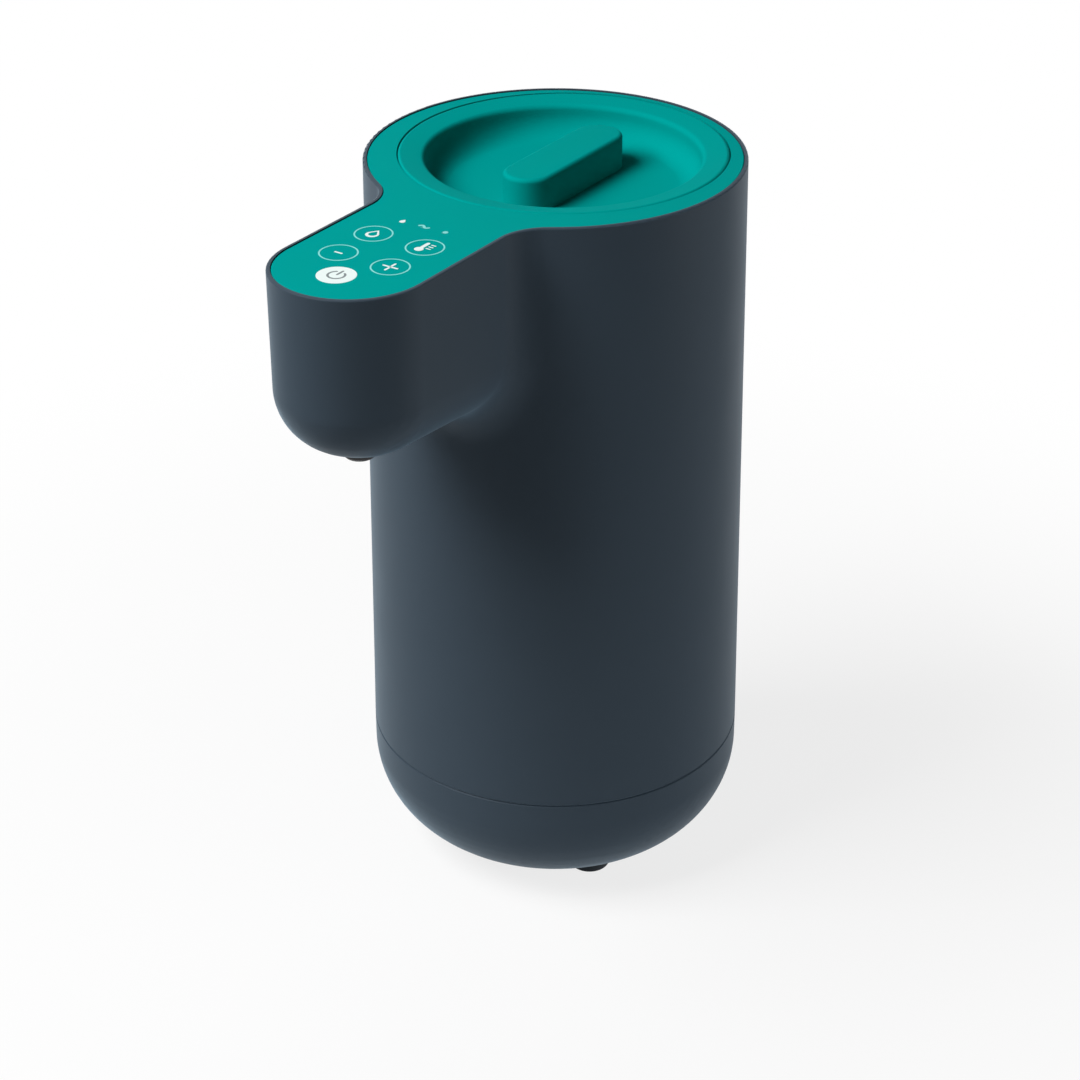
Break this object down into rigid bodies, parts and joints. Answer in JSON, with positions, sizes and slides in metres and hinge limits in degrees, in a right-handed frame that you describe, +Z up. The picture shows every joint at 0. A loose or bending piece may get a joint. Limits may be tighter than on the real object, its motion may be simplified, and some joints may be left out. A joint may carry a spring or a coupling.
{
  "type": "baby formula water dispenser",
  "caption": "Tall round water warmer with a rounded base, a cantilevered spout head with touch keys, and a round lid with a grip bar in its bowl.",
  "frame": {"origin": "on the table under the middle of the product", "axes": "+Z up along the round body, -Y towards the front, the way the spout points, +X to the right of someone who faces the spout"},
  "size_m": [0.136, 0.207, 0.269],
  "materials": {
    "housing_plastic": "soft-touch matt dark slate",
    "teal_plastic": "satin teal",
    "tank_steel": "satin stainless",
    "heater_aluminium": "as cast",
    "inner_plastic": "plain white",
    "silicone": "translucent milky",
    "rubber": "matt",
    "fastener_steel": "zinc plated",
    "circuit_board": "green solder mask",
    "black_plastic": "fine grain",
    "capacitor_sleeve": "shrink sleeve",
    "sensor_brass": "plain",
    "touch_foam": "conductive foam",
    "light_guide": "clear",
    "wire_jacket": "plain"
  },
  "bodies": {
    "housing": {"body_shell": "housing_plastic", "base_cover": "housing_plastic", "top_deck": "teal_plastic", "water_tank": "tank_steel", "heater_plate": "heater_aluminium", "heater_element": "heater_aluminium", "chassis": "inner_plastic", "pump_housing": "inner_plastic", "pump_cover": "inner_plastic", "spout_nozzle": "inner_plastic", "tank_seal": "silicone", "inlet_hose": "silicone", "riser_hose": "silicone", "foot_front_left": "rubber", "foot_front_right": "rubber", "foot_rear_left": "rubber", "foot_rear_right": "rubber", "pump_mount": "rubber", "base_screws": "fastener_steel", "board_screws": "fastener_steel", "pump_motor": "fastener_steel", "touch_board": "circuit_board", "power_board": "circuit_board", "heat_cutout": "black_plastic", "transformer": "black_plastic", "relay": "black_plastic", "power_inlet": "black_plastic", "filter_capacitor": "capacitor_sleeve", "heat_sensor": "sensor_brass", "inlet_pins": "sensor_brass", "touch_pads": "touch_foam", "light_guides": "light_guide", "indicator_leds": "light_guide", "heater_leads": "wire_jacket", "pump_leads": "wire_jacket", "touch_cable": "wire_jacket"},
    "lid_liner": {"lid_liner": "inner_plastic", "lid_gasket": "silicone"},
    "lid": {"lid_cap": "teal_plastic", "liner_screw": "fastener_steel"},
    "impeller": {"pump_impeller": "inner_plastic", "pump_shaft": "fastener_steel"}
  },
  "joints": [
    {"name": "lid_lift", "type": "slide", "parent": "housing", "child": "lid_liner", "axis": [0, 0, 1], "range_m": [0, 0.12]},
    {"name": "lid_turn", "type": "hinge", "parent": "lid_liner", "child": "lid", "pos_m": [0, 0.0405, 0.25], "axis": [0, 0, 1], "range_deg": [-40, 0]},
    {"name": "impeller_spin", "type": "hinge", "parent": "housing", "child": "impeller", "pos_m": [0, 0.0405, 0.0425], "axis": [0, 0, 1], "continuous": true}
  ]
}
